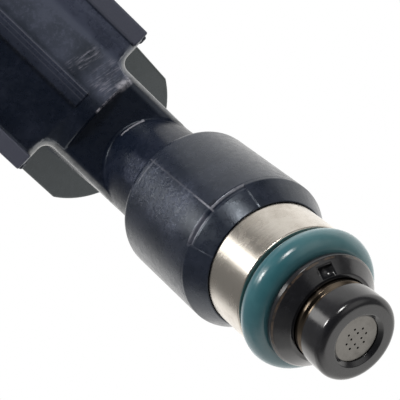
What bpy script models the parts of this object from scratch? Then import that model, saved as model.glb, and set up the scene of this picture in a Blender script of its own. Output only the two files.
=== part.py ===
"""Top-feed port fuel injector, one object per real piece.

Axes: Z is the valve axis, +Z towards the fuel inlet, the spray tip points down. The electrical
connector leans out towards -Y. The origin is the centre of the lower sealing ring.
All driving dimensions are in millimetres and named below; heights are above the origin.
"""

import math

import bmesh
import bpy
from mathutils import Matrix, Vector

MM = 0.001
SEG = 40  # facets round every turned piece, the same for all so that running gaps stay even

# lower seal, cap and spray tip
RING_R = 5.75  # centre-line radius of both sealing rings
RING_SECTION_R = 1.52
SEAT_R = 4.15  # bare metal tube that carries the sealing rings
NECK_R = 3.9  # bare metal just above the nozzle cap
PLATE_Z = -7.4  # front face of the orifice plate
PLATE_T = 0.25
PLATE_R = 2.85
HOLE_R = 0.12
CAP_R = 4.35
CAP_TIP_Z = -7.85
CAP_TOP_Z = -4.95
CAP_ROUND = 0.9
CAP_BORE_R = 3.6
RETAINER_R = 5.88
RETAINER_Z = (-3.72, -1.65)

# valve
BODY_BORE_R = 3.0
SEAT_BLOCK_Z = (-7.1, -3.85)
SEAT_BLOCK_R = 2.95
OUTLET_R = 0.7
CONE_START_Z = -6.1
BALL_R = 1.75
BALL_Z = -4.30
NEEDLE_R = 1.25
NEEDLE_BORE_R = 0.8
NEEDLE_Z = (-2.68, 8.0)
ARMATURE_R = 2.9
ARMATURE_Z = (6.2, 12.6)
SPRING_SEAT_Z = 9.5
AIR_GAP = 0.15
SPRING_R = 1.36
SPRING_WIRE_R = 0.21
SPRING_TOP_Z = 19.0
SPRING_TURNS = 7.5
CORE_BORE_R = 1.8

# magnet circuit
CAN_R = 6.8
CAN_WALL = 0.55
CAN_Z = (1.65, 19.6)
BOBBIN_Z = (2.6, 16.6)
COIL_R = (4.82, 5.95)
YOKE_Z = (17.1, 19.1)

# inlet tube
TUBE_TOP_Z = 61.0
TUBE_BORE_R = 2.85
TUBE_R = 3.5  # the slim run inside the stem
TUBE_STEP_Z = 47.0
UPPER_RING_Z = 56.6

# overmoulded body
SKIRT_Z = 7.0  # lower rim, where the steel can comes out
BARREL_Z = (9.5, 22.2)
BARREL_R = 8.3
STEM_R = 6.0
STEM_TOP_Z = 53.2
FLANGE_Z = (48.3, 50.1)
FLANGE_R = 11.6
FLANGE_HALF = 10.4

# connector, in its own frame: origin where its underside leaves the stem, -Y towards the mouth
TILT = 30.0
ROOT = (0.0, -5.75, 31.5)
WEB_HALF = 5.9
WEB_FILLET = 1.3
WEB_BACK_Y = -1.5  # the web starts this far in front of the axis, inside the stem
SHOULDER_Y = -5.7
MOUTH_Y = -27.5
SHROUD_H = 13.0
SHROUD_HALF = 9.5
RAIL_HALF = 10.35
RAIL_W = 1.9
SOCKET = (15.0, 9.0)
SOCKET_DEPTH = 13.5
PIN_X = 1.95
PIN_W = 1.2
PIN_T = 0.7
PIN_DROP_Y = 4.35  # distance in front of the axis where the strips run down the stem
PIN_OUT = 7.5


# ---------------------------------------------------------------- scene and helpers
def start_clean():
    for old in list(bpy.data.objects):
        bpy.data.objects.remove(old, do_unlink=True)
    for name in ("fuel_injector", "cutters"):
        group = bpy.data.collections.new(name)
        bpy.context.scene.collection.children.link(group)
    bpy.data.collections["cutters"].hide_render = True


def material(name, colour, roughness, metallic=0.0):
    mat = bpy.data.materials.new(name)
    mat.use_nodes = True
    shader = mat.node_tree.nodes["Principled BSDF"]
    shader.inputs["Base Color"].default_value = (*colour, 1.0)
    shader.inputs["Roughness"].default_value = roughness
    shader.inputs["Metallic"].default_value = metallic
    return mat


def place(name, mesh, cutter=False, colour=None, roughness=0.5, metallic=0.0):
    """Links a new object for the mesh, as a piece with its own material or as a cutter."""
    obj = bpy.data.objects.new(name, mesh)
    bpy.data.collections["cutters" if cutter else "fuel_injector"].objects.link(obj)
    if cutter:
        obj.hide_render = True
        obj.display_type = "WIRE"
    else:
        obj.data.materials.append(material(name, colour, roughness, metallic))
    return obj


def smooth(obj, angle=35.0):
    """Smooth faces with an edge split in the shading wherever the surface turns sharply."""
    for face in obj.data.polygons:
        face.use_smooth = True
    if obj.data.edges:
        obj.data.set_sharp_from_angle(angle=math.radians(angle))


def mesh_of(name, points, faces=(), edges=()):
    mesh = bpy.data.meshes.new(name)
    mesh.from_pydata([Vector(p) * MM for p in points], list(edges), list(faces))
    mesh.update()
    return mesh


def turned(name, profile, **look):
    """A turned piece: a closed (radius, height) loop, down its outer side first, spun about Z."""
    points = [(r, 0.0, z) for r, z in profile]
    count = len(points)
    edges = [(i, (i + 1) % count) for i in range(count)]
    obj = place(name, mesh_of(name, points, edges=edges), **look)
    spin = obj.modifiers.new("spin", "SCREW")
    spin.steps = spin.render_steps = SEG
    spin.use_merge_vertices = True
    spin.merge_threshold = 1e-6
    spin.use_smooth_shade = True
    return obj


def arc(centre, radius, start, stop, steps):
    """Points on an arc in the (radius, height) plane, angles in degrees."""
    return [
        (
            centre[0] + radius * math.cos(math.radians(start + (stop - start) * i / steps)),
            centre[1] + radius * math.sin(math.radians(start + (stop - start) * i / steps)),
        )
        for i in range(steps + 1)
    ]


def prism(name, outline, low, high, **look):
    """A flat outline (anticlockwise from above) raised from low to high."""
    count = len(outline)
    points = [(x, y, low) for x, y in outline] + [(x, y, high) for x, y in outline]
    faces = [tuple(reversed(range(count))), tuple(range(count, 2 * count))]
    faces += [(i, (i + 1) % count, (i + 1) % count + count, i + count) for i in range(count)]
    return place(name, mesh_of(name, points, faces), **look)


def block(name, low, high, **look):
    outline = [(low[0], low[1]), (high[0], low[1]), (high[0], high[1]), (low[0], high[1])]
    return prism(name, outline, low[2], high[2], **look)


def rod(name, radius, length, facets=16, **look):
    """A round bar centred on its own origin, along its own Z."""
    ring = [
        (radius * math.cos(2 * math.pi * i / facets), radius * math.sin(2 * math.pi * i / facets))
        for i in range(facets)
    ]
    return prism(name, ring, -length / 2, length / 2, **look)


def rounded(half_x, y0, y1, radius, steps=4):
    """Outline of a rounded rectangle between x = +-half_x and y0..y1, anticlockwise."""
    corners = (
        (half_x - radius, y0 + radius, -90),
        (half_x - radius, y1 - radius, 0),
        (-half_x + radius, y1 - radius, 90),
        (-half_x + radius, y0 + radius, 180),
    )
    outline = []
    for x, y, start in corners:
        outline += arc((x, y), radius, start, start + 90, steps)
    return outline


def boolean(obj, tool, operation="DIFFERENCE"):
    step = obj.modifiers.new(f"{operation.lower()}_{tool.name}"[:60], "BOOLEAN")
    step.operation = operation
    step.solver = "EXACT"
    step.object = tool
    return step


def move(obj, location=(0, 0, 0), turn=(0, 0, 0), parent=None):
    obj.location = Vector(location) * MM
    obj.rotation_euler = [math.radians(a) for a in turn]
    if parent:
        obj.parent = parent
    return obj


# ---------------------------------------------------------------- spray tip and lower seal
def tip_pieces():
    round_edge = arc((CAP_R - CAP_ROUND, CAP_TIP_Z + CAP_ROUND), CAP_ROUND, 0, -90, 6)
    turned(
        "nozzle_cap",
        [(CAP_R - 0.15, CAP_TOP_Z), (CAP_R, CAP_TOP_Z - 0.15)]
        + round_edge
        + [
            (2.95, CAP_TIP_Z),
            (2.78, CAP_TIP_Z + 0.08),
            (2.28, PLATE_Z - 0.04),
            (CAP_BORE_R, PLATE_Z - 0.04),
            (CAP_BORE_R, CAP_TOP_Z),
        ],
        colour=(0.012, 0.012, 0.013),
        roughness=0.18,
    )

    plate = rod("orifice_plate", PLATE_R, PLATE_T, facets=SEG, colour=(0.3, 0.28, 0.25),
                roughness=0.45, metallic=0.9)
    move(plate, (0, 0, PLATE_Z + PLATE_T / 2))
    # two rings of metering holes: eight outside in four pairs, four inside
    places = [(1.09, quarter * 90 + side * 20.3) for quarter in range(4) for side in (-1, 1)]
    places += [(0.58, 45 + quarter * 90) for quarter in range(4)]
    ring = bpy.data.meshes.new("cut_metering_holes")
    shape = bmesh.new()
    for radius, angle in places:
        turn = math.radians(angle + 5.0)
        at = Matrix.Translation((radius * math.cos(turn) * MM, radius * math.sin(turn) * MM, 0))
        bmesh.ops.create_cone(shape, cap_ends=True, segments=10, radius1=HOLE_R * MM,
                              radius2=HOLE_R * MM, depth=2 * PLATE_T * MM, matrix=at)
    shape.to_mesh(ring)
    shape.free()
    holes = place("cut_metering_holes", ring, cutter=True)
    move(holes, (0, 0, PLATE_Z + PLATE_T / 2))
    boolean(plate, holes)

    retainer = turned(
        "lower_retainer",
        [
            (5.6, RETAINER_Z[1]),
            (RETAINER_R, RETAINER_Z[1] - 0.25),
            (RETAINER_R, -2.35),
            (5.7, -2.6),
            (4.62, RETAINER_Z[0] + 0.1),
            (4.5, RETAINER_Z[0]),
            (SEAT_R + 0.07, RETAINER_Z[0]),
            (SEAT_R + 0.07, RETAINER_Z[1]),
        ],
        colour=(0.015, 0.015, 0.016),
        roughness=0.22,
    )
    for name, angle in (("cut_window_a", 33.0), ("cut_window_b", 213.0)):
        window = block(name, (-0.72, -0.72, -0.7), (0.72, 0.72, 2.0), cutter=True)
        # the sloping face looks down and out, and the pocket is square to it
        lean = math.degrees(math.atan2(5.7 - 4.62, 1.02))
        azimuth = math.radians(angle - 90)
        spot = (5.16 * math.cos(azimuth), 5.16 * math.sin(azimuth), -3.1)
        move(window, spot, (180 - 90 + lean, 0, angle))
        boolean(retainer, window)

    ring_section = arc((RING_R, 0), RING_SECTION_R, 90, -270, 14)[:-1]
    turned("lower_o_ring", ring_section, colour=(0.03, 0.115, 0.14), roughness=0.3)


# ---------------------------------------------------------------- valve
def valve_pieces():
    turned(
        "valve_body",
        [
            (SEAT_R, 11.5),
            (SEAT_R, -4.2),
            (NECK_R, -4.45),
            (NECK_R, CAP_TOP_Z + 0.06),
            (CAP_BORE_R - 0.05, CAP_TOP_Z + 0.06),
            (CAP_BORE_R - 0.05, -6.85),
            (3.4, -7.05),
            (BODY_BORE_R, -7.05),
            (BODY_BORE_R, 11.5),
        ],
        colour=(0.55, 0.47, 0.38),
        roughness=0.28,
        metallic=1.0,
    )
    cone_top = CONE_START_Z + 1.25
    turned(
        "valve_seat",
        [
            (SEAT_BLOCK_R, SEAT_BLOCK_Z[1]),
            (SEAT_BLOCK_R, SEAT_BLOCK_Z[0]),
            (OUTLET_R, SEAT_BLOCK_Z[0]),
            (OUTLET_R, CONE_START_Z),
            (OUTLET_R + 1.25, cone_top),
            (1.95, SEAT_BLOCK_Z[1] - 0.3),
            (2.25, SEAT_BLOCK_Z[1]),
        ],
        colour=(0.5, 0.5, 0.5),
        roughness=0.3,
        metallic=1.0,
    )
    ball = bpy.data.meshes.new("valve_ball")
    shape = bmesh.new()
    bmesh.ops.create_uvsphere(shape, u_segments=SEG // 2, v_segments=14, radius=BALL_R * MM)
    shape.to_mesh(ball)
    shape.free()
    ball = place("valve_ball", ball, colour=(0.6, 0.6, 0.6), roughness=0.08, metallic=1.0)
    move(ball, (0, 0, BALL_Z))
    smooth(ball)

    needle = turned(
        "needle_tube",
        [
            (NEEDLE_R, NEEDLE_Z[1]),
            (NEEDLE_R, NEEDLE_Z[0]),
            (NEEDLE_BORE_R, NEEDLE_Z[0]),
            (NEEDLE_BORE_R, NEEDLE_Z[1]),
        ],
        colour=(0.5, 0.5, 0.5),
        roughness=0.35,
        metallic=1.0,
    )
    port = rod("cut_fuel_port", 0.45, 6, facets=12, cutter=True)
    move(port, (0, 0, 0.2), (90, 0, 0))
    boolean(needle, port)

    turned(
        "armature",
        [
            (ARMATURE_R - 0.15, ARMATURE_Z[1]),
            (ARMATURE_R, ARMATURE_Z[1] - 0.15),
            (ARMATURE_R, ARMATURE_Z[0] + 0.2),
            (ARMATURE_R - 0.2, ARMATURE_Z[0]),
            (NEEDLE_R + 0.05, ARMATURE_Z[0]),
            (NEEDLE_R + 0.05, NEEDLE_Z[1] + 0.05),
            (NEEDLE_BORE_R, NEEDLE_Z[1] + 0.05),
            (NEEDLE_BORE_R, SPRING_SEAT_Z),
            (CORE_BORE_R, SPRING_SEAT_Z),
            (CORE_BORE_R, ARMATURE_Z[1]),
        ],
        colour=(0.45, 0.45, 0.45),
        roughness=0.4,
        metallic=1.0,
    )


def spring_piece():
    """The return spring, wound wire on a poly curve with flat-lying end turns."""
    low = SPRING_SEAT_Z + SPRING_WIRE_R + 0.04
    high = SPRING_TOP_Z - SPRING_WIRE_R - 0.04
    curve = bpy.data.curves.new("return_spring", "CURVE")
    curve.dimensions = "3D"
    curve.bevel_depth = SPRING_WIRE_R * MM
    curve.bevel_resolution = 2
    curve.use_fill_caps = True
    steps = int(SPRING_TURNS * 12)
    line = curve.splines.new("POLY")
    line.points.add(steps)
    closed = 1.0  # turns at each end that lie nearly flat
    pitch = (high - low - 2 * 2.3 * SPRING_WIRE_R) / (SPRING_TURNS - 2 * closed)
    for i in range(steps + 1):
        turns = SPRING_TURNS * i / steps
        ends = min(turns, closed) + max(0.0, turns - (SPRING_TURNS - closed))
        middle = turns - ends
        z = low + ends * 2.3 * SPRING_WIRE_R + middle * pitch
        angle = 2 * math.pi * turns
        line.points[i].co = (
            SPRING_R * math.cos(angle) * MM, SPRING_R * math.sin(angle) * MM, z * MM, 1.0,
        )
    spring = bpy.data.objects.new("return_spring", curve)
    bpy.data.collections["fuel_injector"].objects.link(spring)
    curve.materials.append(material("return_spring", (0.5, 0.48, 0.45), 0.3, 1.0))
    curve.splines[0].use_smooth = True


# ---------------------------------------------------------------- magnet circuit and inlet
def magnet_pieces():
    inner = CAN_R - CAN_WALL
    turned(
        "steel_can",
        [
            (CAN_R, CAN_Z[1]),
            (CAN_R, CAN_Z[0] + 0.4),
            (CAN_R - 0.4, CAN_Z[0]),
            (SEAT_R + 0.08, CAN_Z[0]),
            (SEAT_R + 0.08, CAN_Z[0] + 0.6),
            (inner, CAN_Z[0] + 0.6),
            (inner, CAN_Z[1]),
        ],
        colour=(0.62, 0.58, 0.52),
        roughness=0.3,
        metallic=1.0,
    )
    flange = inner - 0.1
    turned(
        "coil_bobbin",
        [
            (flange, BOBBIN_Z[1]),
            (flange, BOBBIN_Z[1] - 0.8),
            (4.7, BOBBIN_Z[1] - 0.8),
            (4.7, BOBBIN_Z[0] + 0.8),
            (flange, BOBBIN_Z[0] + 0.8),
            (flange, BOBBIN_Z[0]),
            (SEAT_R + 0.08, BOBBIN_Z[0]),
            (SEAT_R + 0.08, BOBBIN_Z[1]),
        ],
        colour=(0.55, 0.5, 0.38),
        roughness=0.55,
    )
    # the winding's outer face shows its layers as shallow ridges
    rows = 6
    low, high = BOBBIN_Z[0] + 0.9, BOBBIN_Z[1] - 0.9
    ridge = (high - low) / rows
    skin = []
    for i in range(rows):
        top = high - i * ridge
        skin += [(COIL_R[1] - 0.12, top), (COIL_R[1], top - ridge / 2)]
    skin.append((COIL_R[1] - 0.12, low))
    turned(
        "coil_winding",
        skin + [(COIL_R[0], low), (COIL_R[0], high)],
        colour=(0.5, 0.16, 0.05),
        roughness=0.35,
        metallic=1.0,
    )
    yoke = turned(
        "yoke_ring",
        [
            (flange, YOKE_Z[1]),
            (flange, YOKE_Z[0]),
            (SEAT_R + 0.08, YOKE_Z[0]),
            (SEAT_R + 0.08, YOKE_Z[1]),
        ],
        colour=(0.4, 0.4, 0.4),
        roughness=0.45,
        metallic=1.0,
    )
    slot = block("cut_yoke_slot", (-3.4, -8, YOKE_Z[0] - 1), (3.4, -2.0, YOKE_Z[1] + 1), cutter=True)
    boolean(yoke, slot)

    turned(
        "nonmagnetic_sleeve",
        [(SEAT_R, 14.5), (SEAT_R, 11.56), (BODY_BORE_R, 11.56), (BODY_BORE_R, 14.5)],
        colour=(0.5, 0.48, 0.45),
        roughness=0.3,
        metallic=1.0,
    )
    core_z = ARMATURE_Z[1] + AIR_GAP
    flare = [(5.9, TUBE_TOP_Z), (6.1, TUBE_TOP_Z - 0.2), (6.1, TUBE_TOP_Z - 0.9), (5.9, TUBE_TOP_Z - 1.1)]
    turned(
        "inlet_tube",
        flare
        + [
            (SEAT_R, TUBE_TOP_Z - 1.1),
            (SEAT_R, TUBE_STEP_Z + 0.6),
            (TUBE_R, TUBE_STEP_Z),
            (TUBE_R, YOKE_Z[1] + 0.4),
            (SEAT_R, YOKE_Z[1] + 0.4),
            (SEAT_R, 14.56),
            (BODY_BORE_R - 0.04, 14.56),
            (BODY_BORE_R - 0.04, core_z + 0.12),
            (BODY_BORE_R - 0.16, core_z),
            (CORE_BORE_R, core_z),
            (CORE_BORE_R, 27.0),
            (TUBE_BORE_R, 28.6),
            (TUBE_BORE_R, TUBE_TOP_Z - 0.9),
            (TUBE_BORE_R + 0.9, TUBE_TOP_Z),
        ],
        colour=(0.6, 0.58, 0.55),
        roughness=0.28,
        metallic=1.0,
    )
    turned(
        "spring_adjuster",
        [
            (CORE_BORE_R - 0.05, 25.5),
            (CORE_BORE_R - 0.05, SPRING_TOP_Z),
            (1.1, SPRING_TOP_Z),
            (1.1, 25.5),
        ],
        colour=(0.45, 0.42, 0.35),
        roughness=0.4,
        metallic=1.0,
    )


def inlet_pieces():
    ring_section = arc((RING_R, UPPER_RING_Z), RING_SECTION_R, 90, -270, 14)[:-1]
    turned("upper_o_ring", ring_section, colour=(0.03, 0.115, 0.14), roughness=0.3)
    turned(
        "upper_backup_ring",
        [
            (6.6, UPPER_RING_Z - 1.6),
            (6.6, UPPER_RING_Z - 2.9),
            (6.4, UPPER_RING_Z - 3.1),
            (SEAT_R + 0.08, UPPER_RING_Z - 3.1),
            (SEAT_R + 0.08, UPPER_RING_Z - 1.6),
        ],
        colour=(0.02, 0.02, 0.022),
        roughness=0.35,
    )
    turned(
        "upper_retainer",
        [
            (6.0, TUBE_TOP_Z - 1.16),
            (6.3, TUBE_TOP_Z - 1.4),
            (6.3, UPPER_RING_Z + 1.65),
            (SEAT_R + 0.08, UPPER_RING_Z + 1.65),
            (SEAT_R + 0.08, TUBE_TOP_Z - 1.16),
        ],
        colour=(0.02, 0.02, 0.022),
        roughness=0.35,
    )
    # filter basket: rim, closed foot and ribs in one moulding, with the gauze sleeve inside the ribs
    top, foot = TUBE_TOP_Z - 1.2, 49.0
    rim = turned(
        "filter_frame",
        [(2.75, top), (2.75, top - 2.0), (2.15, top - 2.0), (2.15, top)],
        colour=(0.35, 0.28, 0.12),
        roughness=0.5,
    )
    base = rod("part_filter_foot", 2.7, 1.0, facets=SEG, cutter=True)
    move(base, (0, 0, foot))
    boolean(rim, base, "UNION")
    for i in range(4):
        rib = block(f"part_filter_rib_{i}", (2.2, -0.3, foot - 0.3), (2.62, 0.3, top - 1.0), cutter=True)
        move(rib, (0, 0, 0), (0, 0, 45 + 90 * i))
        boolean(rim, rib, "UNION")
    turned(
        "filter_gauze",
        [(2.08, top - 0.1), (2.08, foot + 0.6), (1.95, foot + 0.6), (1.95, top - 0.1)],
        colour=(0.75, 0.74, 0.7),
        roughness=0.6,
    )


# ---------------------------------------------------------------- overmoulded body and terminals
def connector_frame():
    frame = bpy.data.objects.new("connector_frame", None)
    bpy.data.collections["fuel_injector"].objects.link(frame)
    return move(frame, ROOT, (-TILT, 0, 0))


def web_mesh():
    """Web and shroud in one: narrow where it leaves the stem, concave corners, then full width.

    The back ends on an upright plane inside the stem, so it leans in the connector's own frame.
    """
    fillet = arc((WEB_HALF + WEB_FILLET, SHOULDER_Y + WEB_FILLET), WEB_FILLET, 180, 270, 5)
    right = fillet + [(SHROUD_HALF, SHOULDER_Y), (SHROUD_HALF, MOUTH_Y)]
    outline = right + [(-x, y) for x, y in reversed(right)]
    lean = math.radians(TILT)

    def back(z):
        return (WEB_BACK_Y - ROOT[1] - z * math.sin(lean)) / math.cos(lean)

    rings = []
    for z, draft in ((0.0, 1.0), (SHROUD_H, 1.013)):
        ring = [(WEB_HALF, back(z), z)] + [(x, y, z) for x, y in outline] + [(-WEB_HALF, back(z), z)]
        rings.append([(x * draft, y, z) for x, y, z in reversed(ring)])
    count = len(rings[0])
    faces = [tuple(reversed(range(count))), tuple(range(count, 2 * count))]
    faces += [(i, (i + 1) % count, (i + 1) % count + count, i + count) for i in range(count)]
    return mesh_of("part_web", rings[0] + rings[1], faces)


def terminal_outline(grow):
    """Side view (depth, height) of a bent terminal strip, thickened all round by grow."""
    half = PIN_T / 2 + grow
    lean = math.radians(TILT)
    floor_y = MOUTH_Y + SOCKET_DEPTH
    # centre line in the connector's frame: along the socket axis, then down parallel to Z
    tip = (floor_y - PIN_OUT - (0 if grow == 0 else 3), SHROUD_H / 2)
    bend_y = -(PIN_DROP_Y + ROOT[1] + SHROUD_H / 2 * math.sin(lean)) / math.cos(lean)
    bend = (bend_y, SHROUD_H / 2)
    down = Vector((math.sin(lean), -math.cos(lean)))
    foot_z = BOBBIN_Z[1] + (0.7 if grow == 0 else 0.3)
    bend_z = ROOT[2] - bend[0] * math.sin(lean) + bend[1] * math.cos(lean)
    run = bend_z - foot_z
    foot = (bend[0] + down.x * run, bend[1] + down.y * run)
    line = [Vector(tip), Vector(bend), Vector(foot)]
    first = (line[1] - line[0]).normalized()
    second = (line[2] - line[1]).normalized()
    n1, n2 = Vector((-first.y, first.x)), Vector((-second.y, second.x))
    miter = (n1 + n2).normalized() / math.cos(n1.angle(n2) / 2)
    sides = []
    for sign in (1, -1):
        sides.append([line[0] + n1 * half * sign, line[1] + miter * half * sign, line[2] + n2 * half * sign])
    return [tuple(p) for p in sides[1] + list(reversed(sides[0]))]


def strip(name, outline, x_low, x_high, parent, **look):
    """A (depth, height) outline given width along X."""
    count = len(outline)
    points = [(x_low, y, z) for y, z in outline] + [(x_high, y, z) for y, z in outline]
    faces = [tuple(reversed(range(count))), tuple(range(count, 2 * count))]
    faces += [(i, (i + 1) % count, (i + 1) % count + count, i + count) for i in range(count)]
    return move(place(name, mesh_of(name, points, faces), **look), parent=parent)


def housing_piece(frame):
    bore = TUBE_R + 0.1
    shoulder = arc((BARREL_R - 1.0, BARREL_Z[1] - 1.0), 1.0, 90, 0, 4)
    inside = CAN_R + 0.06
    housing = turned(
        "overmould_housing",
        [
            (6.3, STEM_TOP_Z),
            (6.6, STEM_TOP_Z - 0.3),
            (6.6, FLANGE_Z[0] - 1.2),
            (STEM_R, FLANGE_Z[0] - 2.0),
            (STEM_R, BARREL_Z[1] + 0.5),
            (STEM_R + 0.5, BARREL_Z[1]),
        ]
        + shoulder
        + [
            (BARREL_R, BARREL_Z[0] + 0.55),
            (BARREL_R - 0.12, BARREL_Z[0] + 0.15),
            (BARREL_R - 0.42, BARREL_Z[0] - 0.1),
            (inside + 0.12, SKIRT_Z),
            (inside, SKIRT_Z),
            (inside, CAN_Z[1] + 0.3),
            (bore - 0.6, CAN_Z[1] + 0.3),
            (bore - 0.6, STEM_TOP_Z),
        ],
        colour=(0.022, 0.027, 0.042),
        roughness=0.42,
    )
    body = place("part_web", web_mesh(), cutter=True)
    boolean(housing, move(body, parent=frame), "UNION")
    # crowned underside, from its own rounded end out to the mouth
    half, crown = 5.1, 0.9
    radius = (half * half + crown * crown) / (2 * crown)
    sweep = math.degrees(math.asin(half / radius))
    crown_line = arc((0, radius - crown), radius, -90 - sweep, -90 + sweep, 10)
    crown_line = [(x, z - 0.06) for x, z in crown_line]
    belly = strip_along("part_belly", crown_line + [(half, 1.5), (-half, 1.5)], MOUTH_Y + 0.6, -3.9)
    boolean(housing, move(belly, parent=frame), "UNION")
    for side, name in ((1, "right"), (-1, "left")):
        x0, x1 = sorted((side * (RAIL_HALF - RAIL_W), side * RAIL_HALF))
        rail = block(f"part_rail_{name}", (x0, MOUTH_Y + 1.2, -0.45), (x1, SHOULDER_Y - 0.15, 1.5), cutter=True)
        boolean(housing, move(rail, parent=frame), "UNION")
        x0, x1 = sorted((side * (RAIL_HALF - RAIL_W), side * (RAIL_HALF - 0.1)))
        rib = block(f"part_rib_{name}", (x0, MOUTH_Y + 4.0, 2.6), (x1, SHOULDER_Y + 0.9, 3.8), cutter=True)
        boolean(housing, move(rib, parent=frame), "UNION")
    lock = strip("part_latch", [(-25.6, 12.5), (-20.5, 12.5), (-20.5, 14.5), (-21.6, 14.5)], -3.2, 3.2,
                 frame, cutter=True)
    boolean(housing, lock, "UNION")
    flange = prism("part_flange", flange_outline(), FLANGE_Z[0], FLANGE_Z[1], cutter=True)
    boolean(housing, flange, "UNION")

    # the stepped bore is cut last, so that it also clears the web and the flange
    for name, radius, low, high in (
        ("cut_bore", bore, CAN_Z[1] - 2.0, STEM_TOP_Z - 3.0),
        ("cut_bore_upper", SEAT_R + 0.1, TUBE_STEP_Z - 0.1, STEM_TOP_Z + 2.0),
    ):
        tool = rod(name, radius, high - low, facets=SEG, cutter=True)
        boolean(housing, move(tool, (0, 0, (low + high) / 2), (0, 0, 180 / SEG)))
    middle = SHROUD_H / 2
    socket = prism("cut_socket", rounded(SOCKET[0] / 2, middle - SOCKET[1] / 2, middle + SOCKET[1] / 2, 1.6),
                   -SOCKET_DEPTH / 2, SOCKET_DEPTH / 2 + 1.0, cutter=True)
    # the outline above is drawn facing the mouth: its X stays X and its Y becomes height
    move(socket, (0, MOUTH_Y + SOCKET_DEPTH / 2, 0), (90, 0, 0), frame)
    boolean(housing, socket)
    for side, name in ((1, "right"), (-1, "left")):
        x = side * PIN_X
        half = PIN_W / 2 + 0.12
        channel = strip(f"cut_terminal_{name}", terminal_outline(0.12), x - half, x + half, frame, cutter=True)
        boolean(housing, channel)
    return housing


def strip_along(name, outline, y_low, y_high):
    """An (X, height) outline run along the connector's depth, as a joining tool."""
    count = len(outline)
    points = [(x, y_low, z) for x, z in outline] + [(x, y_high, z) for x, z in outline]
    faces = [tuple(range(count)), tuple(reversed(range(count, 2 * count)))]
    faces += [(i, i + count, (i + 1) % count + count, (i + 1) % count) for i in range(count)]
    return place(name, mesh_of(name, points, faces), cutter=True)


def flange_outline():
    """D-shaped clip flange: round at the back, flat at both sides, square towards the connector."""
    reach = math.degrees(math.acos(FLANGE_HALF / FLANGE_R))
    back = arc((0, 0), FLANGE_R, reach, 180 - reach, 16)
    return back + [(-FLANGE_HALF, -4.5), (-FLANGE_HALF + 1.0, -5.5), (FLANGE_HALF - 1.0, -5.5), (FLANGE_HALF, -4.5)]


def terminal_pieces(frame):
    for side, name in ((1, "terminal_right"), (-1, "terminal_left")):
        x = side * PIN_X
        strip(name, terminal_outline(0), x - PIN_W / 2, x + PIN_W / 2, frame,
              colour=(0.7, 0.66, 0.55), roughness=0.25, metallic=1.0)


start_clean()
tip_pieces()
valve_pieces()
spring_piece()
magnet_pieces()
inlet_pieces()
connector = connector_frame()
housing_piece(connector)
terminal_pieces(connector)
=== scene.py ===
"""Looks of the top-feed port fuel injector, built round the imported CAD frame.

All shape numbers are millimetres in the CAD frame: Z is the valve axis, the tip points down,
the connector leans out towards -Y.
"""

import math

import bmesh
import bpy
import numpy as np
from mathutils import Matrix, Vector


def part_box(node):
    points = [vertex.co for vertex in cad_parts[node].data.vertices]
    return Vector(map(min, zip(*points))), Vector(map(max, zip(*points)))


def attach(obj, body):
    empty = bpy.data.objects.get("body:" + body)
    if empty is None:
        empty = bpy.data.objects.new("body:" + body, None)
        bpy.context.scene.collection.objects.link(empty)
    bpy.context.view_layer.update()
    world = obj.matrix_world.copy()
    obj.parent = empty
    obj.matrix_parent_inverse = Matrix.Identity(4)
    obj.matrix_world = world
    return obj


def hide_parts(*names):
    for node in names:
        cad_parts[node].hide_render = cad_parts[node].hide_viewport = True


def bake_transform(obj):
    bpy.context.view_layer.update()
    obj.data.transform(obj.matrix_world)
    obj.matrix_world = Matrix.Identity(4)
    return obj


MM = 0.001
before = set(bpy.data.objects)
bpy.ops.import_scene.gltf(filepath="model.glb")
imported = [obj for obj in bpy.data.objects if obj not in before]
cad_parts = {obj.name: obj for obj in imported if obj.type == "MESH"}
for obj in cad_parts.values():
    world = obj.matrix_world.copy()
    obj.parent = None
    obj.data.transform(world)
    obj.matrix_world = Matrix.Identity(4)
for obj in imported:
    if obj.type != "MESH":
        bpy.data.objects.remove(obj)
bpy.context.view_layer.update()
BODY = "injector_body"

# the plug connector's own axes start at ROOT: v runs along it towards the valve axis, w up from its underside
TILT = math.radians(30.0)
ROOT = (0.0, -5.75, 31.5)
# how much the edge of the plug's belly bows, as a part of x squared
BOW = 0.012

# brightness of the parts of the studio
TENT, TABLE, DIM, AMBIENT = 1.1, 1.25, 0.2, 0.04
STRIP, LEFT_CORE, TOP_CORE, SIDE = 3.6, 25.0, 28.0, 0.7
# height and half width of the floor, in metres
FLOOR_Z, FLOOR_HALF = -0.14, 1.5


# ---------------------------------------------------------------- camera, light and floor
CAMERA_AT = Vector((-6.62, -83.74, -76.39))
CAMERA_RIGHT = Vector((0.6836, 0.5279, -0.5040))
CAMERA_UP = Vector((0.7275, -0.5467, 0.4143))
CAMERA_BACK = Vector((-0.0569, -0.6499, -0.7578))


def make_camera():
    data = bpy.data.cameras.new("camera")
    data.sensor_width = 36.0
    data.lens = 108.0
    data.clip_start = 0.002
    data.clip_end = 20.0
    camera = bpy.data.objects.new("camera", data)
    bpy.context.scene.collection.objects.link(camera)
    turn = Matrix((CAMERA_RIGHT, CAMERA_UP, CAMERA_BACK)).transposed()
    camera.matrix_world = Matrix.Translation(CAMERA_AT * MM) @ turn.to_4x4()
    bpy.context.scene.camera = camera


def studio(right, up, back):
    """A studio direction, given as right, up and towards the viewer, in the CAD frame."""
    return (CAMERA_RIGHT * right + CAMERA_UP * up + CAMERA_BACK * back).normalized()


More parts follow.
